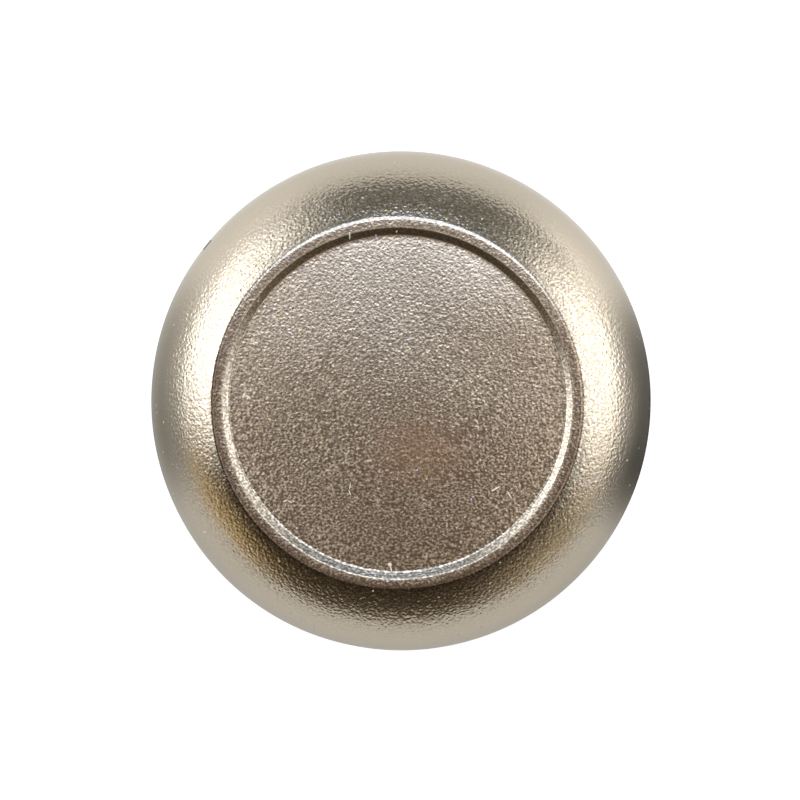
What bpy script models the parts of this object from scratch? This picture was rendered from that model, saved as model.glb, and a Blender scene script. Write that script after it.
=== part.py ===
"""Metal shank button, 20 mm across, die-cast in one piece and plated.

The face is a low elliptical dome with a round recess in its middle, framed by a narrow lip.
The back is hollow, with a pad in the middle that carries a cast loop for the sewing thread.
The button stands face up along +Z. The origin is the end of the loop, on the button's axis,
and the eye in the loop runs along Y.
"""

import math

import bmesh
import bpy
from mathutils import Vector

MM = 0.001

# Face
BUTTON_DIAMETER = 20.0 * MM
DOME_HEIGHT = 5.5 * MM  # of the whole half-ellipse that the rim is a part of
LIP_DIAMETER = 14.66 * MM  # over the crease where the dome meets the lip
LIP_WIDTH = 0.40 * MM
CREASE_RADIUS = 0.30 * MM
LIP_EDGE_RADIUS = 0.13 * MM
RECESS_DEPTH = 0.18 * MM
RECESS_WALL_ANGLE = math.radians(33)  # from level
RECESS_FILLET = 0.17 * MM
FLOOR_CROWN = 0.15 * MM

# Back
UNDERCUT_HEIGHT = 0.6 * MM  # from the widest level down to the flat back land
UNDERCUT_WIDTH = 0.6 * MM
BACK_LAND_WIDTH = 1.3 * MM
MOUTH_RADIUS = 0.15 * MM
FACE_WALL = 1.1 * MM
HOLLOW_DRAFT = math.radians(12)
HOLLOW_FILLET = 0.7 * MM
PAD_DIAMETER = 7.6 * MM
PAD_HEIGHT = 0.4 * MM
PAD_FILLET = 0.15 * MM

# Loop
SHANK_LENGTH = 3.6 * MM  # from the back land to the loop's end
EYE_DIAMETER = 2.8 * MM
LOOP_WALL = 1.2 * MM
LOOP_THICKNESS = 2.2 * MM
LOOP_EDGE_RADIUS = 0.4 * MM
EYE_MOUTH_RADIUS = 0.35 * MM
ROOT_FILLET = 0.6 * MM

# Trimmed casting gate, a small flat just above the widest level
GATE_ANGLE = math.radians(141)
GATE_WIDTH = 0.5 * MM
GATE_DEPTH = 0.03 * MM
GATE_HEIGHT = 0.8 * MM
GATE_TILT = math.radians(8)  # from upright

# Smoothness
TURN_STEPS = 80
DOME_POINTS = 12
FLOOR_POINTS = 5
ARC_POINTS = 4
EYE_STEPS = 48
ROOT_POINTS = 5
OVERLAP = 0.3 * MM  # by which one shape runs into the next where they are joined
SKIN = 0.02 * MM  # by which a fillet's thin edge lies under the surface that it runs out on

# Levels and radii that follow
BUTTON_RADIUS = BUTTON_DIAMETER / 2
BACK_LEVEL = SHANK_LENGTH
WIDEST_LEVEL = BACK_LEVEL + UNDERCUT_HEIGHT
LIP_RADIUS = LIP_DIAMETER / 2
CREASE_LEVEL = WIDEST_LEVEL + DOME_HEIGHT * math.sqrt(1 - (LIP_RADIUS / BUTTON_RADIUS) ** 2)
LIP_INNER_RADIUS = LIP_RADIUS - LIP_WIDTH
FLOOR_LEVEL = CREASE_LEVEL - RECESS_DEPTH
FLOOR_RADIUS = LIP_INNER_RADIUS - RECESS_DEPTH / math.tan(RECESS_WALL_ANGLE)
ROOF_LEVEL = FLOOR_LEVEL - FACE_WALL
MOUTH_HOLLOW_RADIUS = BUTTON_RADIUS - UNDERCUT_WIDTH - BACK_LAND_WIDTH
ROOF_RADIUS = MOUTH_HOLLOW_RADIUS - (ROOF_LEVEL - BACK_LEVEL) * math.tan(HOLLOW_DRAFT)
PAD_LEVEL = ROOF_LEVEL - PAD_HEIGHT
LOOP_RADIUS = EYE_DIAMETER / 2 + LOOP_WALL
EYE_LEVEL = LOOP_RADIUS


def clear_scene():
    for existing in list(bpy.data.objects):
        bpy.data.objects.remove(existing, do_unlink=True)


def collection(name):
    made = bpy.data.collections.new(name)
    bpy.context.scene.collection.children.link(made)
    return made


def rounded_corner(before, corner, after, radius, points=ARC_POINTS):
    """Points of the arc that rounds a corner between two straight runs."""
    corner = Vector(corner)
    to_before = (Vector(before) - corner).normalized()
    to_after = (Vector(after) - corner).normalized()
    half_angle = to_before.angle(to_after) / 2
    centre = corner + (to_before + to_after).normalized() * radius / math.sin(half_angle)
    run = radius / math.tan(half_angle)
    start = corner + to_before * run - centre
    sweep = start.angle_signed(corner + to_after * run - centre)
    arc = []
    for i in range(points):
        turn = -sweep * i / (points - 1)
        arc.append((
            centre.x + start.x * math.cos(turn) - start.y * math.sin(turn),
            centre.y + start.x * math.sin(turn) + start.y * math.cos(turn),
        ))
    return arc


def crowned_floor():
    """The recess floor from the axis towards its edge, as an arc of a very large circle."""
    large_radius = (FLOOR_RADIUS**2 + FLOOR_CROWN**2) / (2 * FLOOR_CROWN)
    centre_level = FLOOR_LEVEL + FLOOR_CROWN - large_radius
    reach = FLOOR_RADIUS - 2 * RECESS_FILLET
    radii = [reach * i / (FLOOR_POINTS - 1) for i in range(FLOOR_POINTS)]
    return [(r, centre_level + math.sqrt(large_radius**2 - r**2)) for r in radii]


def dome_point(radius):
    return radius, WIDEST_LEVEL + DOME_HEIGHT * math.sqrt(1 - (radius / BUTTON_RADIUS) ** 2)


def dome():
    """The rim from just outside the crease out to the widest level."""
    start = math.asin((LIP_RADIUS + CREASE_RADIUS) / BUTTON_RADIUS)
    points = []
    for i in range(DOME_POINTS):
        turn = start + (math.pi / 2 - start) * i / (DOME_POINTS - 1)
        points.append((BUTTON_RADIUS * math.sin(turn), WIDEST_LEVEL + DOME_HEIGHT * math.cos(turn)))
    return points


def undercut():
    """The quarter-ellipse from the widest level in to the back land, without its first point."""
    points = []
    for i in range(1, ARC_POINTS + 1):
        turn = math.pi / 2 * i / ARC_POINTS
        points.append((
            BUTTON_RADIUS - UNDERCUT_WIDTH * (1 - math.cos(turn)),
            WIDEST_LEVEL - UNDERCUT_HEIGHT * math.sin(turn),
        ))
    return points


def body_profile():
    """Half section, from the middle of the face, out and down the rim, and back under it to the axis."""
    floor_edge = (FLOOR_RADIUS, FLOOR_LEVEL)
    lip_inner = (LIP_INNER_RADIUS, CREASE_LEVEL)
    crease = (LIP_RADIUS, CREASE_LEVEL)
    mouth = (MOUTH_HOLLOW_RADIUS, BACK_LEVEL)
    roof_edge = (ROOF_RADIUS, ROOF_LEVEL)
    pad_root = (PAD_DIAMETER / 2, ROOF_LEVEL)
    pad_edge = (PAD_DIAMETER / 2, PAD_LEVEL)
    floor = crowned_floor()
    rim = dome()
    lower_edge = undercut()
    profile = list(floor)
    profile += rounded_corner(floor[-1], floor_edge, lip_inner, RECESS_FILLET)
    profile += rounded_corner(floor_edge, lip_inner, crease, LIP_EDGE_RADIUS)
    profile += rounded_corner(lip_inner, crease, dome_point(LIP_RADIUS + CREASE_RADIUS), CREASE_RADIUS)
    profile += rim
    profile += lower_edge
    profile += rounded_corner(lower_edge[-1], mouth, roof_edge, MOUTH_RADIUS)
    profile += rounded_corner(mouth, roof_edge, pad_root, HOLLOW_FILLET, 2 * ARC_POINTS)
    profile += rounded_corner(roof_edge, pad_root, pad_edge, PAD_FILLET)
    profile += rounded_corner(pad_root, pad_edge, (0, PAD_LEVEL), PAD_FILLET)
    profile.append((0, PAD_LEVEL))
    return profile


def turned(name, profile, steps):
    """A closed solid turned about Z from a half section."""
    mesh = bpy.data.meshes.new(name)
    points = [(radius, 0, level) for radius, level in profile]
    edges = [(i, i + 1) for i in range(len(points) - 1)]
    mesh.from_pydata(points, edges, [])
    made = bpy.data.objects.new(name, mesh)
    screw = made.modifiers.new("Turn", "SCREW")
    screw.axis = "Z"
    screw.angle = math.tau
    screw.steps = steps
    screw.render_steps = steps
    screw.use_merge_vertices = True
    screw.merge_threshold = 0.000001
    return made


def loop_outline():
    """Outline of the loop in its own plane: a round end and two straight legs that run into the pad."""
    top = PAD_LEVEL + OVERLAP
    round_end = []
    for i in range(EYE_STEPS // 2 + 1):
        turn = math.tau * i / EYE_STEPS
        round_end.append((-LOOP_RADIUS * math.cos(turn), EYE_LEVEL - LOOP_RADIUS * math.sin(turn)))
    return round_end + [(LOOP_RADIUS, top), (-LOOP_RADIUS, top)]


def add_closed_spline(curve, points):
    spline = curve.splines.new("POLY")
    spline.points.add(len(points) - 1)
    for point, (x, y) in zip(spline.points, points):
        point.co = (x, y, 0, 1)
    spline.use_cyclic_u = True


def mesh_from_curve(curve_object):
    """A mesh object in the curve's place, with the caps welded to the sides."""
    bpy.context.view_layer.update()
    evaluated = curve_object.evaluated_get(bpy.context.evaluated_depsgraph_get())
    mesh = bpy.data.meshes.new_from_object(evaluated)
    cage = bmesh.new()
    cage.from_mesh(mesh)
    bmesh.ops.remove_doubles(cage, verts=cage.verts, dist=0.000001)
    bmesh.ops.recalc_face_normals(cage, faces=cage.faces)
    cage.to_mesh(mesh)
    cage.free()
    made = bpy.data.objects.new(curve_object.name + "_mesh", mesh)
    made.matrix_world = curve_object.matrix_world
    bpy.data.objects.remove(curve_object, do_unlink=True)
    return made


def thread_loop():
    """The cast loop before its eye is cut: a plate with rounded edges, standing in the XZ plane."""
    curve = bpy.data.curves.new("thread_loop", "CURVE")
    curve.dimensions = "2D"
    curve.fill_mode = "BOTH"
    curve.extrude = LOOP_THICKNESS / 2 - LOOP_EDGE_RADIUS
    curve.bevel_depth = LOOP_EDGE_RADIUS
    curve.bevel_resolution = 2
    curve.offset = -LOOP_EDGE_RADIUS
    add_closed_spline(curve, loop_outline())
    flat = bpy.data.objects.new("thread_loop", curve)
    flat.rotation_euler = (math.radians(90), 0, 0)
    bpy.context.scene.collection.objects.link(flat)
    return mesh_from_curve(flat)


def loop_section(spread, level):
    """The loop's rounded cross-section at a level, spread outwards by the same amount all round."""
    across = LOOP_RADIUS - LOOP_EDGE_RADIUS
    through = LOOP_THICKNESS / 2 - LOOP_EDGE_RADIUS
    radius = LOOP_EDGE_RADIUS + spread
    points = []
    for corner, (side_x, side_y) in enumerate(((1, 1), (-1, 1), (-1, -1), (1, -1))):
        for i in range(ARC_POINTS):
            turn = math.pi / 2 * (corner + i / (ARC_POINTS - 1))
            points.append((
                side_x * across + radius * math.cos(turn),
                side_y * through + radius * math.sin(turn),
                level,
            ))
    return points


def loop_root():
    """The fillet all round the place where the loop stands on the pad, lofted from section to section."""
    sections = []
    for i in range(ROOT_POINTS + 1):
        turn = math.pi / 2 * i / ROOT_POINTS
        spread = ROOT_FILLET * (1 - math.cos(turn)) - SKIN
        sections.append(loop_section(spread, PAD_LEVEL + SKIN - ROOT_FILLET * (1 - math.sin(turn))))
    sections.append(loop_section(ROOT_FILLET - SKIN, PAD_LEVEL + OVERLAP))
    cage = bmesh.new()
    rings = [[cage.verts.new(point) for point in section] for section in sections]
    for lower, upper in zip(rings, rings[1:]):
        for i in range(len(lower)):
            cage.faces.new((lower[i - 1], lower[i], upper[i], upper[i - 1]))
    cage.faces.new(list(reversed(rings[0])))
    cage.faces.new(rings[-1])
    mesh = bpy.data.meshes.new("loop_root")
    cage.to_mesh(mesh)
    cage.free()
    return bpy.data.objects.new("loop_root", mesh)


def eye_cutter():
    """A turned bar along Y that widens in a round at both faces of the loop, so no edge cuts the thread."""
    radius = EYE_DIAMETER / 2
    face = LOOP_THICKNESS / 2
    outside = face + OVERLAP
    wide = radius + EYE_MOUTH_RADIUS
    upper_mouth = []
    for i in range(ARC_POINTS):
        turn = math.pi / 2 * i / (ARC_POINTS - 1)
        upper_mouth.append((
            wide - EYE_MOUTH_RADIUS * math.sin(turn),
            face - EYE_MOUTH_RADIUS * (1 - math.cos(turn)),
        ))
    lower_mouth = [(r, -height) for r, height in reversed(upper_mouth)]
    ends = [(0, outside), (wide, outside)]
    made = turned("eye_cutter", ends + upper_mouth + lower_mouth + [(wide, -outside), (0, -outside)], EYE_STEPS)
    made.location = (0, 0, EYE_LEVEL)
    made.rotation_euler = (math.radians(90), 0, 0)
    return made


def gate_place():
    """Radius and level of the rim's skin where it leans as much as the trimmed flat does."""
    slope = BUTTON_RADIUS * math.cos(GATE_TILT)
    rise = DOME_HEIGHT * math.sin(GATE_TILT)
    length = math.hypot(slope, rise)
    return BUTTON_RADIUS * slope / length, WIDEST_LEVEL + DOME_HEIGHT * rise / length


def gate_cutter():
    """A small block whose inner face trims the rim flat at the casting gate."""
    mesh = bpy.data.meshes.new("gate_cutter")
    cage = bmesh.new()
    bmesh.ops.create_cube(cage, size=1)
    bmesh.ops.scale(cage, vec=(GATE_WIDTH, GATE_WIDTH, GATE_HEIGHT), verts=cage.verts)
    cage.to_mesh(mesh)
    cage.free()
    radius, level = gate_place()
    offset = GATE_WIDTH / 2 - GATE_DEPTH
    radius += offset * math.cos(GATE_TILT)
    level += offset * math.sin(GATE_TILT)
    made = bpy.data.objects.new("gate_cutter", mesh)
    made.location = (radius * math.cos(GATE_ANGLE), radius * math.sin(GATE_ANGLE), level)
    made.rotation_euler = (0, -GATE_TILT, GATE_ANGLE)
    return made


def add_boolean(target, helper, operation, helpers):
    helpers.objects.link(helper)
    helper.hide_render = True
    helper.display_type = "WIRE"
    boolean = target.modifiers.new(helper.name, "BOOLEAN")
    boolean.operation = operation
    boolean.object = helper


def apply_modifiers(target):
    bpy.context.view_layer.update()
    evaluated = target.evaluated_get(bpy.context.evaluated_depsgraph_get())
    target.data = bpy.data.meshes.new_from_object(evaluated)
    target.modifiers.clear()


def plated_metal():
    """Pale gold plating over a pearl-blasted casting."""
    material = bpy.data.materials.new("pearl_plating")
    material.use_nodes = True
    shader = material.node_tree.nodes["Principled BSDF"]
    shader.inputs["Base Color"].default_value = (0.62, 0.54, 0.43, 1)
    shader.inputs["Metallic"].default_value = 1
    shader.inputs["Roughness"].default_value = 0.32
    return material


def button(parts, helpers):
    made = turned("button", body_profile(), TURN_STEPS)
    parts.objects.link(made)
    add_boolean(made, thread_loop(), "UNION", helpers)
    add_boolean(made, loop_root(), "UNION", helpers)
    add_boolean(made, eye_cutter(), "DIFFERENCE", helpers)
    add_boolean(made, gate_cutter(), "DIFFERENCE", helpers)
    apply_modifiers(made)
    made.data.materials.clear()
    made.data.materials.append(plated_metal())
    made.data.shade_smooth()
    made.data.set_sharp_from_angle(angle=math.radians(30))
    return made


def main():
    clear_scene()
    parts = collection("shank_button")
    helpers = collection("helpers")
    button(parts, helpers)


main()
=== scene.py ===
import math

import bmesh
import bpy
from mathutils import Matrix, Vector, noise


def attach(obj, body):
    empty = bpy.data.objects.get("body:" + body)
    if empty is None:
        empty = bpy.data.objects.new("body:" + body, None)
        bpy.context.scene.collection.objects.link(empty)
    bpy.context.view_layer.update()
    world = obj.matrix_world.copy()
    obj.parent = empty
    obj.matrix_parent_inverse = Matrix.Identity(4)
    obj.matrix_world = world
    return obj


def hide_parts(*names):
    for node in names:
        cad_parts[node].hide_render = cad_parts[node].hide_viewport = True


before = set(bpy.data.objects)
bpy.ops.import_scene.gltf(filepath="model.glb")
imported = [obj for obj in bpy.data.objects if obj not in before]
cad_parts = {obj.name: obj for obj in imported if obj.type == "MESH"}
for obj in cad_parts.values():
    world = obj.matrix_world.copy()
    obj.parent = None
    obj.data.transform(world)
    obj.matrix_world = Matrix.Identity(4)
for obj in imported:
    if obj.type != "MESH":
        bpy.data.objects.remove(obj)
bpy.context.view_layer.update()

MM = 0.001

# Face
BUTTON_RADIUS = 10.0 * MM
DOME_HEIGHT = 5.5 * MM
LIP_RADIUS = 7.33 * MM  # over the crease where the dome meets the lip
LIP_WIDTH = 0.40 * MM
CREASE_RADIUS = 0.30 * MM
LIP_EDGE_RADIUS = 0.13 * MM
RECESS_DEPTH = 0.18 * MM
RECESS_WALL_ANGLE = math.radians(33)
RECESS_FILLET = 0.17 * MM
FLOOR_CROWN = 0.15 * MM

# Back
SHANK_LENGTH = 3.6 * MM
UNDERCUT_HEIGHT = 0.6 * MM
UNDERCUT_WIDTH = 0.6 * MM
BACK_LAND_WIDTH = 1.3 * MM
MOUTH_RADIUS = 0.15 * MM
FACE_WALL = 1.1 * MM
HOLLOW_DRAFT = math.radians(12)
HOLLOW_FILLET = 0.7 * MM
PAD_RADIUS = 3.8 * MM
PAD_HEIGHT = 0.4 * MM
PAD_FILLET = 0.15 * MM

# Thread loop
EYE_RADIUS = 1.4 * MM
LOOP_RADIUS = 2.6 * MM
LOOP_THICKNESS = 2.2 * MM
LOOP_EDGE_RADIUS = 0.4 * MM
EYE_MOUTH_RADIUS = 0.35 * MM
ROOT_FILLET = 0.6 * MM

# Trimmed casting gate
GATE_ANGLE = math.radians(141)
GATE_WIDTH = 0.5 * MM
GATE_DEPTH = 0.03 * MM
GATE_HEIGHT = 0.8 * MM
GATE_TILT = math.radians(8)

# Fineness
TURN_STEPS = 400
FLOOR_POINTS = 46
DOME_POINTS = 60
ARC_POINTS = 8
EYE_STEPS = 96
RUN_LENGTH = 0.25 * MM  # longest step along a straight run of the half section
OVERLAP = 0.3 * MM  # how far joined or cutting pieces run into one another
SKIN = 0.006 * MM  # how deep the root fillet's ends are sunk into the loop and the pad
CAST_WAVE = 3.2 * MM  # length of the slight waves that a casting's skin keeps after blasting
CAST_WAVE_HEIGHT = 0.012 * MM
WAVE_SHIFTS = (Vector((0, 0, 0)), Vector((31, 17, 5)), Vector((9, 43, 27)))  # one for each direction

# Pearl blasting
GRAIN_PITCH = 0.118 * MM
GRAIN_HEIGHT = 0.0068 * MM
SPECKLE_PITCH = 0.09 * MM
SPECKLE_STRETCH = (0.85, 1.15, 1)
DOME_GRAIN_PITCH = 0.132 * MM
DOME_GRAIN = 2.2  # how much deeper the grain is on the dome than on the floor
DENT_PITCH = 0.12 * MM
DENT_DEPTH = 0.003 * MM
SMOOTH_RADIUS = 9.1 * MM  # where the smoother outer band of the rim begins
SMOOTH_FADE = 0.6 * MM
WALL_LINE_PITCH = 0.055 * MM
WALL_LINE_HEIGHT = 0.0022 * MM

# Hairs, scratches and crumbs on the face, in mm: across, up, turn in degrees, length, width
MARKS = (
    (-7.72, -5.16, 0, 0.13, 0.11),
    (-1.87, 6.62, 90, 0.32, 0.06),
    (-1.86, -3.26, 80, 0.28, 0.045),
    (-1.87, -3.52, 112, 0.24, 0.045),
    (-0.29, -6.36, 0, 0.16, 0.15),
    (-0.25, -6.50, 104, 0.30, 0.06),
    (-4.42, -3.84, 20, 0.24, 0.05),
    (-4.24, -3.88, 150, 0.20, 0.05),
    (-6.06, 0.33, 65, 0.26, 0.08),
    (-5.90, 0.27, 150, 0.24, 0.09),
    (3.90, -3.35, 30, 0.40, 0.07),
    (4.44, -3.60, 120, 0.36, 0.06),
)
# coloured specks: partly dust, partly painted glints
SPECK_PITCH = 0.42 * MM
SPECK_SIZE = 0.05 * MM

# Colours of the plating, of what lies on it, and of the painted light and shade on it
# grain colours: the dark hollows are partly dirt and partly painted shade
FLOOR_PALE = (0.75, 0.655, 0.54, 1)
FLOOR_DARK = (0.43, 0.37, 0.30, 1)
# the lower floor's pair paints stronger light on the raised grain and stronger shade in the hollows
LOW_FLOOR_PALE = (0.90, 0.805, 0.67, 1)
LOW_FLOOR_DARK = (0.25, 0.207, 0.16, 1)
DOME_PALE = (0.85, 0.745, 0.60, 1)
DOME_DARK = (0.41, 0.35, 0.27, 1)
DOME_EVEN = (0.60, 0.525, 0.42, 1)
SMOOTH_PLATING = (0.60, 0.525, 0.415, 1)
# painted shade on the lip
LIP_SHADE = (0.34, 0.23, 0.16, 1)
# painted shade in the crease round the lip
CREASE_SHADE = (0.15, 0.11, 0.08, 1)
SMUDGE = (0.62, 0.42, 0.29, 1)
TRIMMED_METAL = (0.27, 0.25, 0.23, 1)
# colours of the specks, partly dust and partly painted glints
YELLOW_SPECK = (0.72, 0.74, 0.24, 1)
BLUE_SPECK = (0.46, 0.49, 1.0, 1)
PALE_MARK = (0.92, 0.83, 0.66, 1)

# Levels and radii that follow
WIDEST_LEVEL = SHANK_LENGTH + UNDERCUT_HEIGHT
CREASE_LEVEL = WIDEST_LEVEL + DOME_HEIGHT * math.sqrt(1 - (LIP_RADIUS / BUTTON_RADIUS) ** 2)
LIP_INNER_RADIUS = LIP_RADIUS - LIP_WIDTH
FLOOR_LEVEL = CREASE_LEVEL - RECESS_DEPTH
FLOOR_RADIUS = LIP_INNER_RADIUS - RECESS_DEPTH / math.tan(RECESS_WALL_ANGLE)
ROOF_LEVEL = FLOOR_LEVEL - FACE_WALL
HOLLOW_RADIUS = BUTTON_RADIUS - UNDERCUT_WIDTH - BACK_LAND_WIDTH
ROOF_RADIUS = HOLLOW_RADIUS - (ROOF_LEVEL - SHANK_LENGTH) * math.tan(HOLLOW_DRAFT)
PAD_LEVEL = ROOF_LEVEL - PAD_HEIGHT

# Wear, finish, painted light and painted shade on the face
LOW_FLOOR = -2 * MM  # height on the face, along Y, below which the floor's grain has its most contrast and most painted light and shade
HIGH_FLOOR = 5 * MM  # and above which it has its least
DOME_EVEN_START = 8.0 * MM  # radius at which the dome's speckle begins to even out
DOME_EVEN_END = 9.2 * MM
PLATING_ROUGHNESS = 0.17
WALL_ROUGHNESS = 0.28
SHADED_SIDE = 255  # in degrees, the side of the crease with the most painted shade
SMUDGE_PLACE = (0.8 * MM, -1.9 * MM, CREASE_LEVEL)
SMUDGE_SIZE = (2.9 * MM, 2.1 * MM, DOME_HEIGHT)

# Room and table
ROOM_LIGHT = (0.055, 0.042, 0.028, 1)
FAR_WALL_LIGHT = (0.22, 0.22, 0.21, 1)
TABLE_RADIUS = 1500 * MM
TABLE_COLOUR = (0.5, 0.49, 0.46, 1)
TABLE_GLOW = 0.85  # its own light, which with the windows' light makes it white to the camera
UNDER_RIM = 13 * MM  # distance from the axis up to which the rim keeps light off the table
CLEAR_OF_RIM = 19 * MM  # distance from the axis past which it no longer does

# Camera
CAMERA_DISTANCE = 250 * MM  # from the widest level of the button
CAMERA_LEAN = math.radians(2.8)
CAMERA_SIDE = math.radians(36)
CAMERA_LENS = 281.0
CAMERA_AIM = (-0.03 * MM, 0.04 * MM)


def rounded_corner(before, corner, after, radius, points=ARC_POINTS):
    """Points of the arc that rounds a corner between two straight runs."""
    corner = Vector(corner)
    to_before = (Vector(before) - corner).normalized()
    to_after = (Vector(after) - corner).normalized()
    half_angle = to_before.angle(to_after) / 2
    centre = corner + (to_before + to_after).normalized() * radius / math.sin(half_angle)
    start = corner + to_before * radius / math.tan(half_angle) - centre
    end = corner + to_after * radius / math.tan(half_angle) - centre
    sweep = start.angle_signed(end)
    arc = []
    for i in range(points):
        turn = -sweep * i / (points - 1)
        arc.append((
            centre.x + start.x * math.cos(turn) - start.y * math.sin(turn),
            centre.y + start.x * math.sin(turn) + start.y * math.cos(turn),
        ))
    return arc


def crowned_floor():
    """The recess floor from the axis towards its edge, as an arc of a very large circle."""
    large_radius = (FLOOR_RADIUS**2 + FLOOR_CROWN**2) / (2 * FLOOR_CROWN)
    centre_level = FLOOR_LEVEL + FLOOR_CROWN - large_radius
    reach = FLOOR_RADIUS - 2 * RECESS_FILLET
    radii = [reach * i / (FLOOR_POINTS - 1) for i in range(FLOOR_POINTS)]
    return [(r, centre_level + math.sqrt(large_radius**2 - r**2)) for r in radii]


def dome_point(radius):
    return radius, WIDEST_LEVEL + DOME_HEIGHT * math.sqrt(1 - (radius / BUTTON_RADIUS) ** 2)


def dome():
    """The rim from just outside the crease out to the widest level."""
    start = math.asin((LIP_RADIUS + CREASE_RADIUS) / BUTTON_RADIUS)
    points = []
    for i in range(DOME_POINTS):
        turn = start + (math.pi / 2 - start) * i / (DOME_POINTS - 1)
        points.append((BUTTON_RADIUS * math.sin(turn), WIDEST_LEVEL + DOME_HEIGHT * math.cos(turn)))
    return points


def undercut():
    """The quarter-ellipse from the widest level in to the back land."""
    points = []
    for i in range(1, ARC_POINTS + 1):
        turn = math.pi / 2 * i / ARC_POINTS
        points.append((
            BUTTON_RADIUS - UNDERCUT_WIDTH * (1 - math.cos(turn)),
            WIDEST_LEVEL - UNDERCUT_HEIGHT * math.sin(turn),
        ))
    return points


def body_section():
    """Half section from the middle of the face, out over the rim, and back under it to the axis."""
    floor_edge = (FLOOR_RADIUS, FLOOR_LEVEL)
    lip_inner = (LIP_INNER_RADIUS, CREASE_LEVEL)
    crease = (LIP_RADIUS, CREASE_LEVEL)
    mouth = (HOLLOW_RADIUS, SHANK_LENGTH)
    roof_edge = (ROOF_RADIUS, ROOF_LEVEL)
    pad_root = (PAD_RADIUS, ROOF_LEVEL)
    pad_edge = (PAD_RADIUS, PAD_LEVEL)
    floor = crowned_floor()
    lower_edge = undercut()
    section = list(floor)
    section += rounded_corner(floor[-1], floor_edge, lip_inner, RECESS_FILLET)
    section += rounded_corner(floor_edge, lip_inner, crease, LIP_EDGE_RADIUS)
    section += rounded_corner(lip_inner, crease, dome_point(LIP_RADIUS + CREASE_RADIUS), CREASE_RADIUS)
    section += dome()
    section += lower_edge
    section += rounded_corner(lower_edge[-1], mouth, roof_edge, MOUTH_RADIUS)
    section += rounded_corner(mouth, roof_edge, pad_root, HOLLOW_FILLET, 2 * ARC_POINTS)
    section += rounded_corner(roof_edge, pad_root, pad_edge, PAD_FILLET)
    section += rounded_corner(pad_root, pad_edge, (0, PAD_LEVEL), PAD_FILLET)
    section.append((0, PAD_LEVEL))
    return section


def finely_stepped(section):
    """The same half section with its long straight runs cut into short steps."""
    stepped = [section[0]]
    for (r0, z0), (r1, z1) in zip(section, section[1:]):
        cuts = max(1, math.ceil(math.hypot(r1 - r0, z1 - z0) / RUN_LENGTH))
        for i in range(1, cuts + 1):
            stepped.append((r0 + (r1 - r0) * i / cuts, z0 + (z1 - z0) * i / cuts))
    return stepped


def turned(name, section, steps):
    """A closed skin turned about Z, with its first and last points on the axis."""
    circle = [(math.cos(math.tau * i / steps), math.sin(math.tau * i / steps)) for i in range(steps)]
    points = [(0, 0, section[0][1])]
    for radius, level in section[1:-1]:
        points += [(radius * x, radius * y, level) for x, y in circle]
    points.append((0, 0, section[-1][1]))
    last = len(points) - 1
    rings = len(section) - 2
    faces = []
    for i in range(steps):
        j = (i + 1) % steps
        faces.append((0, 1 + i, 1 + j))
        for ring in range(rings - 1):
            start = 1 + ring * steps
            faces.append((start + i, start + steps + i, start + steps + j, start + j))
        start = 1 + (rings - 1) * steps
        faces.append((start + i, last, start + j))
    mesh = bpy.data.meshes.new(name)
    mesh.from_pydata(points, [], faces)
    return bpy.data.objects.new(name, mesh)


def loop_outline():
    """Outline of the loop in its own plane: a round end and two straight legs that run into the pad."""
    top = PAD_LEVEL + OVERLAP
    round_end = []
    for i in range(EYE_STEPS // 2 + 1):
        turn = math.tau * i / EYE_STEPS
        round_end.append((-LOOP_RADIUS * math.cos(turn), LOOP_RADIUS - LOOP_RADIUS * math.sin(turn)))
    return round_end + [(LOOP_RADIUS, top), (-LOOP_RADIUS, top)]


def thread_loop():
    """The cast loop before its eye is cut: a plate with rounded edges, standing in the XZ plane."""
    curve = bpy.data.curves.new("thread_loop", "CURVE")
    curve.dimensions = "2D"
    curve.fill_mode = "BOTH"
    curve.extrude = LOOP_THICKNESS / 2 - LOOP_EDGE_RADIUS
    curve.bevel_depth = LOOP_EDGE_RADIUS
    curve.bevel_resolution = 5
    curve.offset = -LOOP_EDGE_RADIUS
    outline = loop_outline()
    spline = curve.splines.new("POLY")
    spline.points.add(len(outline) - 1)
    for point, (x, y) in zip(spline.points, outline):
        point.co = (x, y, 0, 1)
    spline.use_cyclic_u = True
    flat = bpy.data.objects.new("flat_loop", curve)
    bpy.context.scene.collection.objects.link(flat)
    bpy.context.view_layer.update()
    mesh = bpy.data.meshes.new_from_object(flat.evaluated_get(bpy.context.evaluated_depsgraph_get()))
    bpy.data.objects.remove(flat, do_unlink=True)
    cage = bmesh.new()
    cage.from_mesh(mesh)
    bmesh.ops.remove_doubles(cage, verts=cage.verts, dist=0.001 * MM)
    bmesh.ops.recalc_face_normals(cage, faces=cage.faces)
    bmesh.ops.rotate(cage, matrix=Matrix.Rotation(math.radians(90), 3, "X"), verts=cage.verts)
    cage.to_mesh(mesh)
    cage.free()
    return bpy.data.objects.new("thread_loop", mesh)


def loop_section(spread, level):
    """The loop's rounded cross-section at a level, spread outwards by the same amount all round."""
    across = LOOP_RADIUS - LOOP_EDGE_RADIUS
    through = LOOP_THICKNESS / 2 - LOOP_EDGE_RADIUS
    radius = LOOP_EDGE_RADIUS + spread
    points = []
    for corner, (side_x, side_y) in enumerate(((1, 1), (-1, 1), (-1, -1), (1, -1))):
        for i in range(ARC_POINTS):
            turn = math.pi / 2 * (corner + i / (ARC_POINTS - 1))
            points.append((
                side_x * across + radius * math.cos(turn),
                side_y * through + radius * math.sin(turn),
                level,
            ))
    return points


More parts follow.
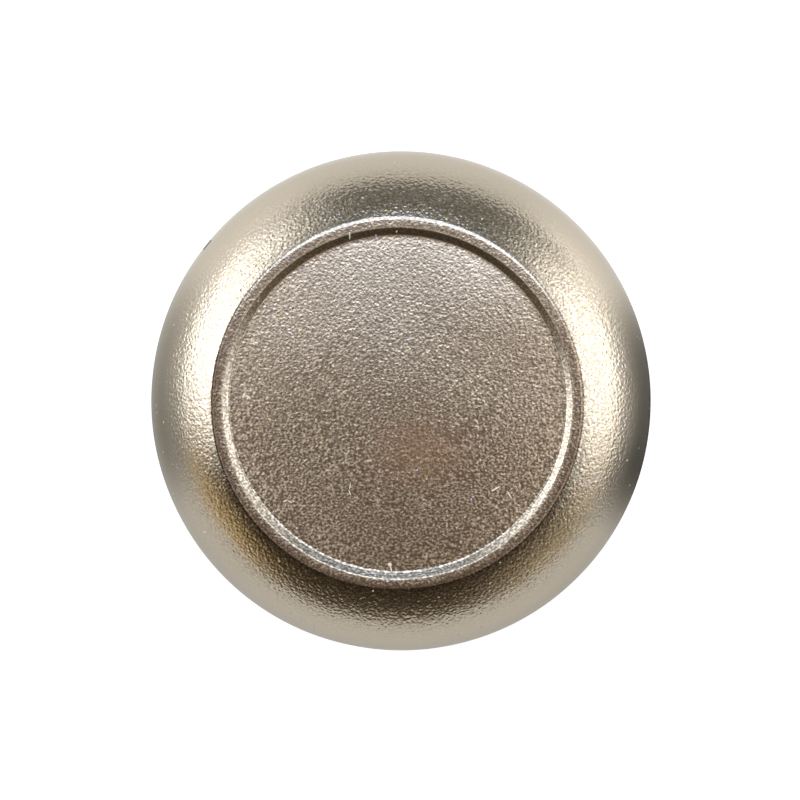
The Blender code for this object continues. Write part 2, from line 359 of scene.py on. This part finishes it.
def loop_root():
    """The fillet all round the place where the loop stands on the pad."""
    sections = []
    for i in range(2 * ARC_POINTS + 1):
        turn = math.pi / 4 * i / ARC_POINTS
        spread = ROOT_FILLET * (1 - math.cos(turn)) - SKIN
        sections.append(loop_section(spread, PAD_LEVEL + SKIN - ROOT_FILLET * (1 - math.sin(turn))))
    sections.append(loop_section(ROOT_FILLET - SKIN, PAD_LEVEL + OVERLAP))
    cage = bmesh.new()
    rings = [[cage.verts.new(point) for point in section] for section in sections]
    for lower, upper in zip(rings, rings[1:]):
        for i in range(len(lower)):
            cage.faces.new((lower[i - 1], lower[i], upper[i], upper[i - 1]))
    cage.faces.new(list(reversed(rings[0])))
    cage.faces.new(rings[-1])
    mesh = bpy.data.meshes.new("loop_root")
    cage.to_mesh(mesh)
    cage.free()
    return bpy.data.objects.new("loop_root", mesh)


def eye_cutter():
    """A turned bar along Y that widens in a round at both faces of the loop."""
    face = LOOP_THICKNESS / 2
    outside = face + OVERLAP
    wide = EYE_RADIUS + EYE_MOUTH_RADIUS
    upper_mouth = []
    for i in range(ARC_POINTS):
        turn = math.pi / 2 * i / (ARC_POINTS - 1)
        upper_mouth.append((
            wide - EYE_MOUTH_RADIUS * math.sin(turn),
            face - EYE_MOUTH_RADIUS * (1 - math.cos(turn)),
        ))
    lower_mouth = [(r, -height) for r, height in reversed(upper_mouth)]
    upper_end = [(0, outside), (wide, outside)]
    lower_end = [(wide, -outside), (0, -outside)]
    cutter = turned("eye_cutter", upper_end + upper_mouth + lower_mouth + lower_end, EYE_STEPS)
    along_y = Matrix.Rotation(math.radians(90), 4, "X")
    cutter.data.transform(Matrix.Translation((0, 0, LOOP_RADIUS)) @ along_y)
    return cutter


def gate_block():
    """Centre of the small block whose inner face trims the rim flat where the casting gate was."""
    slope = BUTTON_RADIUS * math.cos(GATE_TILT)
    rise = DOME_HEIGHT * math.sin(GATE_TILT)
    length = math.hypot(slope, rise)
    offset = GATE_WIDTH / 2 - GATE_DEPTH
    radius = BUTTON_RADIUS * slope / length + offset * math.cos(GATE_TILT)
    level = WIDEST_LEVEL + DOME_HEIGHT * rise / length + offset * math.sin(GATE_TILT)
    return radius * math.cos(GATE_ANGLE), radius * math.sin(GATE_ANGLE), level


def gate_cutter():
    """The small block itself, turned to the gate's side and tilted with the rim."""
    cage = bmesh.new()
    bmesh.ops.create_cube(cage, size=1)
    bmesh.ops.scale(cage, vec=(GATE_WIDTH, GATE_WIDTH, GATE_HEIGHT), verts=cage.verts)
    mesh = bpy.data.meshes.new("gate_cutter")
    cage.to_mesh(mesh)
    cage.free()
    place = Matrix.Translation(gate_block())
    mesh.transform(place @ Matrix.Rotation(GATE_ANGLE, 4, "Z") @ Matrix.Rotation(-GATE_TILT, 4, "Y"))
    return bpy.data.objects.new("gate_cutter", mesh)


def join_or_cut(target, helper, operation):
    """Applies one Boolean to the target's mesh and throws the helper away."""
    bpy.context.scene.collection.objects.link(helper)
    boolean = target.modifiers.new(helper.name, "BOOLEAN")
    boolean.operation = operation
    boolean.object = helper
    boolean.solver = "EXACT"
    bpy.context.view_layer.update()
    evaluated = target.evaluated_get(bpy.context.evaluated_depsgraph_get())
    target.data = bpy.data.meshes.new_from_object(evaluated)
    target.modifiers.clear()
    bpy.data.objects.remove(helper, do_unlink=True)


def cast_waves(mesh):
    """Moves the skin by a few micrometres in long soft waves, as a die-casting has them."""
    for vertex in mesh.vertices:
        place = vertex.co / CAST_WAVE
        vertex.co += Vector([noise.noise(place + shift) for shift in WAVE_SHIFTS]) * CAST_WAVE_HEIGHT


def add_node(tree, kind, **inputs):
    """A node of this kind, with inputs set by name: Detail=2 or Base_Color=(r, g, b, a)."""
    node = tree.nodes.new("ShaderNode" + kind)
    for name, value in inputs.items():
        node.inputs[name.replace("_", " ")].default_value = value
    return node


def maths(tree, operation, first, second):
    """Two numbers put together. Each is an output socket or a plain number."""
    node = add_node(tree, "Math")
    node.operation = operation
    for socket, value in zip(node.inputs, (first, second)):
        if isinstance(value, (int, float)):
            socket.default_value = value
        else:
            tree.links.new(value, socket)
    return node.outputs[0]


def plus(tree, first, second):
    return maths(tree, "ADD", first, second)


def times(tree, first, second):
    return maths(tree, "MULTIPLY", first, second)


def larger(tree, first, second):
    return maths(tree, "MAXIMUM", first, second)


def vector_maths(tree, operation, vector, other=(0, 0, 0)):
    """A vector worked on with a fixed one. A length or a dot product comes out as a number."""
    node = add_node(tree, "VectorMath")
    node.operation = operation
    node.inputs[1].default_value = other
    tree.links.new(vector, node.inputs[0])
    return node.outputs["Value" if operation in ("LENGTH", "DOT_PRODUCT") else "Vector"]


def between(tree, value, low, high, to_low=0.0, to_high=1.0, way="LINEAR"):
    """The value taken from one range to another, held at both ends."""
    node = add_node(tree, "MapRange", From_Min=low, From_Max=high, To_Min=to_low, To_Max=to_high)
    node.interpolation_type = way
    tree.links.new(value, node.inputs["Value"])
    return node.outputs["Result"]


def mixed(tree, first, second, share):
    """Two colours mixed by a share. Each colour is an output socket or a plain colour."""
    node = add_node(tree, "Mix")
    node.data_type = "RGBA"
    for name, value in (("A", first), ("B", second)):
        if isinstance(value, tuple):
            node.inputs[name].default_value = value
        else:
            tree.links.new(value, node.inputs[name])
    tree.links.new(share, node.inputs["Factor"])
    return node.outputs["Result"]


def parts_of(tree, kind, value):
    """The three numbers in a colour or a vector, by SeparateColor or SeparateXYZ."""
    node = add_node(tree, kind)
    tree.links.new(value, node.inputs[0])
    return node.outputs


def noise_of(tree, place, pitch, **inputs):
    node = add_node(tree, "TexNoise", Scale=1 / pitch, **inputs)
    tree.links.new(place, node.inputs["Vector"])
    return node.outputs["Fac"]


def cells_of(tree, place, pitch):
    """How far a place is from the middle of its cell, in pitches, and three random numbers of that cell."""
    node = add_node(tree, "TexVoronoi", Scale=1 / pitch, Randomness=1)
    tree.links.new(place, node.inputs["Vector"])
    return node.outputs["Distance"], parts_of(tree, "SeparateColor", node.outputs["Color"])


def seen_from(tree, place, centre, half_sizes, rotation=(0, 0, 0)):
    """A place measured from the centre of a spot on the button, in that spot's half sizes."""
    node = add_node(tree, "Mapping", Location=centre, Rotation=rotation, Scale=half_sizes)
    node.vector_type = "TEXTURE"
    tree.links.new(place, node.inputs["Vector"])
    return node.outputs["Vector"]


def off_axis(tree, place):
    """How far a place is from the button's axis."""
    return vector_maths(tree, "LENGTH", vector_maths(tree, "MULTIPLY", place, (1, 1, 0)))


def recess_wall(tree, radius):
    """Where the sloping wall of the recess lies."""
    outer = between(tree, radius, LIP_INNER_RADIUS, LIP_INNER_RADIUS + 0.1 * MM, 1, 0)
    return times(tree, outer, between(tree, radius, FLOOR_RADIUS - 0.05 * MM, FLOOR_RADIUS))


def blasted_skin(tree, place, radius, on_dome, wall, smooth):
    """Normals of the skin: fine grain on the face, coarser grain on the dome, fine lines round the wall."""
    fine = noise_of(tree, place, GRAIN_PITCH, Detail=1, Roughness=0.55)
    coarse = noise_of(tree, place, DOME_GRAIN_PITCH, Detail=0.5, Roughness=0.5)
    distance, chance = cells_of(tree, place, DENT_PITCH)
    dent = between(tree, distance, 0.1, 0.7, 1, 0, "SMOOTHSTEP")
    dent = times(tree, dent, between(tree, chance[0], 0, 1, 0.2, 1))
    dents = times(tree, dent, DENT_DEPTH / GRAIN_HEIGHT)
    bumps = maths(tree, "SUBTRACT", mixed(tree, fine, coarse, on_dome), dents)
    depth = between(tree, on_dome, 0, 1, 1, DOME_GRAIN)
    blasted = times(tree, maths(tree, "SUBTRACT", 1.0, smooth), depth)
    line = add_node(tree, "TexNoise", Scale=1, Detail=1)
    line.noise_dimensions = "1D"
    tree.links.new(times(tree, radius, 1 / WALL_LINE_PITCH), line.inputs["W"])
    lines = times(tree, times(tree, line.outputs["Fac"], wall), WALL_LINE_HEIGHT / GRAIN_HEIGHT)
    bump = add_node(tree, "Bump", Distance=GRAIN_HEIGHT)
    tree.links.new(plus(tree, times(tree, bumps, blasted), lines), bump.inputs["Height"])
    return bump.outputs["Normal"]


def grained_plating(tree, place, radius, on_dome, low):
    """Pale raised grain and dark hollows between it, the hollows darkened partly by dirt and partly by
    painted shade. The contrast grows towards the floor's lower side, where it is painted light and shade,
    and fades out over the outer part of the dome."""
    drawn_out = vector_maths(tree, "MULTIPLY", place, SPECKLE_STRETCH)
    speckle = noise_of(tree, drawn_out, SPECKLE_PITCH, Detail=0)
    raised = between(tree, speckle, 0.36, 0.78)
    hollows = mixed(tree, FLOOR_DARK, LOW_FLOOR_DARK, low)
    floor = mixed(tree, hollows, mixed(tree, FLOOR_PALE, LOW_FLOOR_PALE, low), raised)
    dome = mixed(tree, DOME_DARK, DOME_PALE, raised)
    dome = mixed(tree, dome, DOME_EVEN, between(tree, radius, DOME_EVEN_START, DOME_EVEN_END, 0, 0.85))
    return mixed(tree, floor, dome, on_dome)


def painted_lip_shade(tree, radius, low):
    """How much painted shade darkens the lip, more on its lower side."""
    inner = between(tree, radius, LIP_INNER_RADIUS - 0.05 * MM, LIP_INNER_RADIUS + 0.05 * MM)
    outer = between(tree, radius, LIP_RADIUS - 0.1 * MM, LIP_RADIUS + 0.1 * MM, 1, 0)
    return times(tree, times(tree, inner, outer), between(tree, low, 0, 1, 0.05, 0.25))


def painted_crease_shade(tree, place, radius):
    """How much painted shade darkens the crease outside the lip, with none on its upper side."""
    inner = between(tree, radius, LIP_RADIUS - 0.22 * MM, LIP_RADIUS - 0.12 * MM)
    outer = between(tree, radius, LIP_RADIUS, LIP_RADIUS + 0.06 * MM, 1, 0)
    downwards = vector_maths(tree, "DOT_PRODUCT", place, towards(SHADED_SIDE, 90))
    return times(tree, times(tree, inner, outer), between(tree, downwards, -3 * MM, 1 * MM, 0, 0.6))


def floor_smudge(tree, place):
    """How much of the reddish smudge on the floor shows."""
    local = seen_from(tree, place, SMUDGE_PLACE, SMUDGE_SIZE)
    return between(tree, vector_maths(tree, "LENGTH", local), 0.1, 1, 0.5, 0, "SMOOTHSTEP")


def trimmed_gate(tree, place):
    """Where the gate block has trimmed the rim flat."""
    half_sizes = (0.6 * GATE_WIDTH, GATE_WIDTH / 2, GATE_HEIGHT / 2)
    local = seen_from(tree, place, gate_block(), half_sizes, (0, -GATE_TILT, GATE_ANGLE))
    out = parts_of(tree, "SeparateXYZ", vector_maths(tree, "ABSOLUTE", local))
    farthest = larger(tree, larger(tree, out[0], out[1]), out[2])
    return between(tree, farthest, 0.97, 1.02, 1, 0)


def dust_and_glints(tree, place, on_dome):
    """Where coloured specks lie, partly dust and partly painted glints, more of them on the dome, and their
    colour.
    """
    distance, chance = cells_of(tree, place, SPECK_PITCH)
    size = SPECK_SIZE / SPECK_PITCH
    often = between(tree, plus(tree, chance[0], times(tree, on_dome, 0.3)), 0.80, 0.81)
    speck = times(tree, between(tree, distance, 0.6 * size, size, 1, 0), often)
    return speck, mixed(tree, YELLOW_SPECK, BLUE_SPECK, between(tree, chance[1], 0.55, 0.75))


def hairs_and_scratches(tree, place):
    """Where the marks on the face lie."""
    share = 0.0
    for across, up, turn, length, width in MARKS:
        centre = (across * MM, up * MM, CREASE_LEVEL)
        half_sizes = (length * MM / 2, width * MM / 2, DOME_HEIGHT)
        local = seen_from(tree, place, centre, half_sizes, (0, 0, math.radians(turn)))
        share = larger(tree, share, between(tree, vector_maths(tree, "LENGTH", local), 0.7, 1.1, 1, 0))
    return share


def pearl_plating():
    """Pale gold plating over a pearl-blasted casting, with its wear, a little dust, painted glints and
    painted shade on it.
    """
    material = bpy.data.materials.new("pearl_plating")
    material.use_nodes = True
    tree = material.node_tree
    shader = tree.nodes["Principled BSDF"]
    place = add_node(tree, "TexCoord").outputs["Object"]
    radius = off_axis(tree, place)
    on_dome = between(tree, radius, LIP_RADIUS, LIP_RADIUS + CREASE_RADIUS)
    wall = recess_wall(tree, radius)
    outer_band = between(tree, radius, SMOOTH_RADIUS, SMOOTH_RADIUS + SMOOTH_FADE)
    smooth = larger(tree, times(tree, outer_band, 0.8), times(tree, wall, 0.1))
    # low sets where the floor's grain carries more painted light and shade
    low = between(tree, parts_of(tree, "SeparateXYZ", place)[1], LOW_FLOOR, HIGH_FLOOR, 1, 0)
    colour = grained_plating(tree, place, radius, on_dome, low)
    # painted shade on the lip, more on its lower side
    colour = mixed(tree, colour, LIP_SHADE, painted_lip_shade(tree, radius, low))
    # painted shade in the crease, none on its upper side
    colour = mixed(tree, colour, CREASE_SHADE, painted_crease_shade(tree, place, radius))
    colour = mixed(tree, colour, SMOOTH_PLATING, smooth)
    colour = mixed(tree, colour, SMUDGE, floor_smudge(tree, place))
    trimmed = trimmed_gate(tree, place)
    speck, tint = dust_and_glints(tree, place, on_dome)
    mark = hairs_and_scratches(tree, place)
    colour = mixed(tree, colour, TRIMMED_METAL, trimmed)
    # coloured specks: partly dust, partly painted glints
    colour = mixed(tree, colour, tint, speck)
    colour = mixed(tree, colour, PALE_MARK, mark)
    specks_marks_and_trim = larger(tree, larger(tree, speck, mark), trimmed)
    tree.links.new(colour, shader.inputs["Base Color"])
    tree.links.new(maths(tree, "SUBTRACT", 1.0, specks_marks_and_trim), shader.inputs["Metallic"])
    finish = between(tree, wall, 0, 1, PLATING_ROUGHNESS, WALL_ROUGHNESS)
    tree.links.new(larger(tree, finish, specks_marks_and_trim), shader.inputs["Roughness"])
    tree.links.new(blasted_skin(tree, place, radius, on_dome, wall, smooth), shader.inputs["Normal"])
    return material


def shank_button():
    button = turned("button_casting", finely_stepped(body_section()), TURN_STEPS)
    bpy.context.scene.collection.objects.link(button)
    join_or_cut(button, thread_loop(), "UNION")
    join_or_cut(button, loop_root(), "UNION")
    join_or_cut(button, eye_cutter(), "DIFFERENCE")
    join_or_cut(button, gate_cutter(), "DIFFERENCE")
    cast_waves(button.data)
    button.data.materials.clear()
    button.data.materials.append(pearl_plating())
    button.data.shade_smooth()
    button.data.set_sharp_from_angle(angle=math.radians(35))
    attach(button, "root")
    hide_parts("button")
    return button


def towards(side, zenith):
    """The direction from the button to a place in the room, from its side and its angle off the zenith."""
    side, zenith = math.radians(side), math.radians(zenith)
    return Vector((math.sin(zenith) * math.cos(side), math.sin(zenith) * math.sin(side), math.cos(zenith)))


def near(tree, direction, place, inner, outer):
    """A soft patch: 1 where a direction is within the inner angle of a place, 0 beyond the outer one."""
    along = vector_maths(tree, "DOT_PRODUCT", vector_maths(tree, "NORMALIZE", direction), place)
    edge = math.cos(math.radians(outer))
    return between(tree, along, edge, math.cos(math.radians(inner)), way="SMOOTHSTEP")


def beside(tree, direction, side, inner, outer):
    """The same patch seen from above, at whatever height."""
    return near(tree, vector_maths(tree, "MULTIPLY", direction, (1, 1, 0)), towards(side, 90), inner, outer)


def table_in_metal(tree, place):
    """How bright each place of the table looks in the metal, by how well the windows light it."""
    from_axis = off_axis(tree, place)
    right_edge = between(tree, from_axis, UNDER_RIM, CLEAR_OF_RIM, -0.50, -0.62)
    left_edge = between(tree, from_axis, UNDER_RIM, CLEAR_OF_RIM, -0.2, -0.4)
    right_side = times(tree, beside(tree, place, 357, 10, 33), right_edge)
    left_side = times(tree, beside(tree, place, 178, 8, 32), left_edge)
    off_the_middle = between(tree, from_axis, 7 * MM, 11 * MM)
    tone = times(tree, plus(tree, right_side, left_side), off_the_middle)
    tone = plus(tree, tone, between(tree, from_axis, UNDER_RIM, CLEAR_OF_RIM, 0.22, 0.29))
    tone = plus(tree, tone, times(tree, beside(tree, place, 92, 40, 95), 0.22))
    distance = between(tree, from_axis, 9 * MM, 50 * MM)
    for side, inner, outer, strength in ((18, 12, 45, 0.55), (150, 12, 45, 0.25), (85, 15, 50, -0.22)):
        patch = times(tree, beside(tree, place, side, inner, outer), strength)
        tone = plus(tree, tone, times(tree, patch, distance))
    return tone


def white_table():
    """A wide pale floor that keeps the button's shadow and is white to the camera."""
    cage = bmesh.new()
    bmesh.ops.create_circle(cage, cap_ends=True, radius=TABLE_RADIUS, segments=96)
    mesh = bpy.data.meshes.new("table")
    cage.to_mesh(mesh)
    cage.free()
    table = bpy.data.objects.new("table", mesh)
    bpy.context.scene.collection.objects.link(table)
    material = bpy.data.materials.new("white_table")
    material.use_nodes = True
    tree = material.node_tree
    shader = tree.nodes["Principled BSDF"]
    shader.inputs["Base Color"].default_value = TABLE_COLOUR
    shader.inputs["Emission Color"].default_value = (1, 1, 1, 1)
    shader.inputs["Roughness"].default_value = 0.9
    shader.inputs["Specular IOR Level"].default_value = 0
    path = add_node(tree, "LightPath")
    place = add_node(tree, "TexCoord").outputs["Object"]
    in_metal = times(tree, path.outputs["Is Glossy Ray"], table_in_metal(tree, place))
    seen = larger(tree, path.outputs["Is Camera Ray"], path.outputs["Is Transmission Ray"])
    glow = plus(tree, times(tree, seen, TABLE_GLOW), in_metal)
    tree.links.new(glow, shader.inputs["Emission Strength"])
    table.data.materials.append(material)
    return table


def window(tree, direction, side, zenith, width, height, inner=0, outer=68):
    """How much of an oval window's light comes from a direction. Width and height are the angles across it
    at half its brightness. A hard-edged window has its inner and outer angle close to 45."""
    centre = towards(side, zenith)
    across = Vector((0, 0, 1)).cross(centre).normalized()
    axes = (
        across / math.tan(math.radians(width) / 2),
        centre.cross(across) / math.tan(math.radians(height) / 2),
        centre,
    )
    stretched = add_node(tree, "CombineXYZ")
    for socket, axis in zip(stretched.inputs, axes):
        tree.links.new(vector_maths(tree, "DOT_PRODUCT", direction, axis), socket)
    return near(tree, stretched.outputs[0], (0, 0, 1), inner, outer)


def room():
    """A dim warm room with soft windows, greyer on its far side. It is white only where the camera looks
    past the table."""
    world = bpy.data.worlds.new("room")
    bpy.context.scene.world = world
    world.use_nodes = True
    tree = world.node_tree
    background = tree.nodes["Background"]
    direction = add_node(tree, "TexCoord").outputs["Generated"]
    light = mixed(tree, ROOM_LIGHT, FAR_WALL_LIGHT, beside(tree, direction, 88, 15, 80))
    windows = (
        ((0.225, 0.175, 0.135), dict(side=285, zenith=7, width=50, height=44, inner=20, outer=65)),
        ((-0.20, -0.17, -0.135), dict(side=212, zenith=4.8, width=10, height=10, inner=15, outer=70)),
        ((2.5, 2.55, 2.6), dict(side=12, zenith=72, width=53, height=42)),
        ((0.85, 0.79, 0.71), dict(side=0, zenith=19, width=48, height=24, inner=30, outer=63)),
        ((2.5, 2.6, 2.75), dict(side=156, zenith=76, width=52, height=34)),
        ((2.1, 2.1, 2.1), dict(side=172, zenith=60, width=32, height=20)),
        ((0.62, 0.59, 0.56), dict(side=174, zenith=18, width=42, height=20, inner=30, outer=63)),
        ((0.12, 0.10, 0.08), dict(side=265, zenith=88, width=95, height=16)),
        ((1.55, 1.85, 2.35), dict(side=92, zenith=31.5, width=52, height=51, inner=40, outer=50)),
        ((0.6, 0.47, 0.25), dict(side=212, zenith=86, width=34, height=20)),
        ((0.42, 0.37, 0.28), dict(side=320, zenith=86, width=44, height=30)),
    )
    for radiance, shape in windows:
        lit = add_node(tree, "VectorMath")
        lit.operation = "MULTIPLY_ADD"
        lit.inputs[1].default_value = radiance
        tree.links.new(window(tree, direction, **shape), lit.inputs[0])
        tree.links.new(light, lit.inputs[2])
        light = lit.outputs[0]
    path = add_node(tree, "LightPath")
    shown = mixed(tree, light, (1, 1, 1, 1), path.outputs["Is Camera Ray"])
    tree.links.new(shown, background.inputs["Color"])


def camera():
    direction = Vector((
        math.sin(CAMERA_LEAN) * math.cos(CAMERA_SIDE),
        math.sin(CAMERA_LEAN) * math.sin(CAMERA_SIDE),
        math.cos(CAMERA_LEAN),
    ))
    right = Vector((0, 1, 0)).cross(direction).normalized()
    turn = Matrix((right, direction.cross(right), direction)).transposed().to_4x4()
    data = bpy.data.cameras.new("camera")
    data.lens = CAMERA_LENS
    data.sensor_width = 36
    holder = bpy.data.objects.new("camera", data)
    bpy.context.scene.collection.objects.link(holder)
    aim = Vector((CAMERA_AIM[0], CAMERA_AIM[1], WIDEST_LEVEL))
    holder.matrix_world = Matrix.Translation(aim + direction * CAMERA_DISTANCE) @ turn
    bpy.context.scene.camera = holder


shank_button()
white_table()
room()
camera()

bpy.context.scene.view_settings.view_transform = "Standard"
